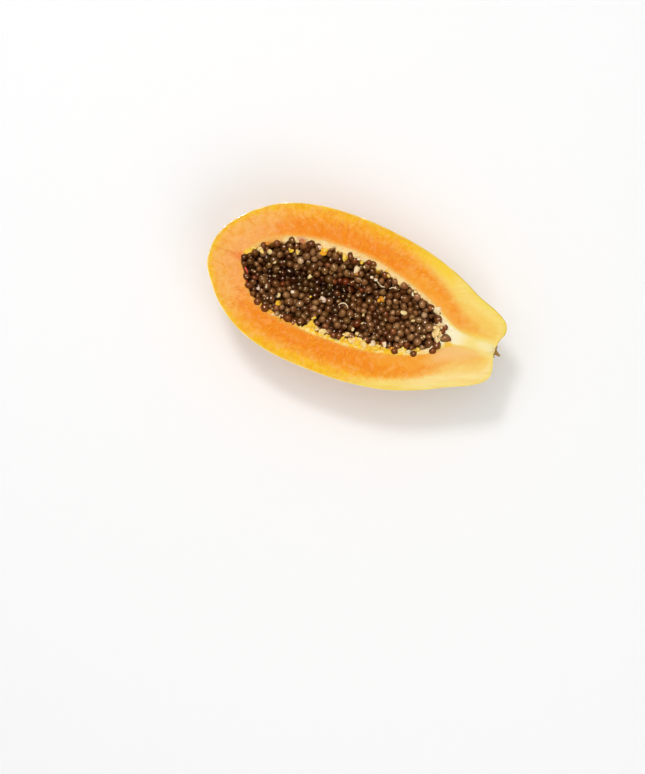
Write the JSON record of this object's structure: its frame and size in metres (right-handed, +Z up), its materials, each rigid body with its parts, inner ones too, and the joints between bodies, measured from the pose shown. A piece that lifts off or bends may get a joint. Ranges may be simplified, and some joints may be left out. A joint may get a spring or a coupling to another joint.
{
  "type": "papaya half",
  "caption": "Ripe papaya cut lengthwise, cut face up: orange flesh in a yellow rind, pale lining, a heap of dark seeds and a stalk stub.",
  "frame": {"origin": "middle of the small flat spot that the half rests on, under its widest section", "axes": "+X along the fruit towards the stalk end, +Y across the cut face, +Z up, square to the cut face"},
  "size_m": [0.2509, 0.1311, 0.0643],
  "materials": {
    "flesh": "moist ripe fruit flesh, orange at the cavity and yellow towards a thin smooth yellow rind",
    "lining": "soft pale cream pulp with fibres that run to the stalk",
    "seeds": "dark brown seeds in glossy wet coats, with a few pale undeveloped ones",
    "stalk": "dry brown cut stalk"
  },
  "bodies": {
    "root": {"flesh": "flesh", "lining": "lining", "seeds": "seeds", "stalk": "stalk"}
  },
  "joints": []
}
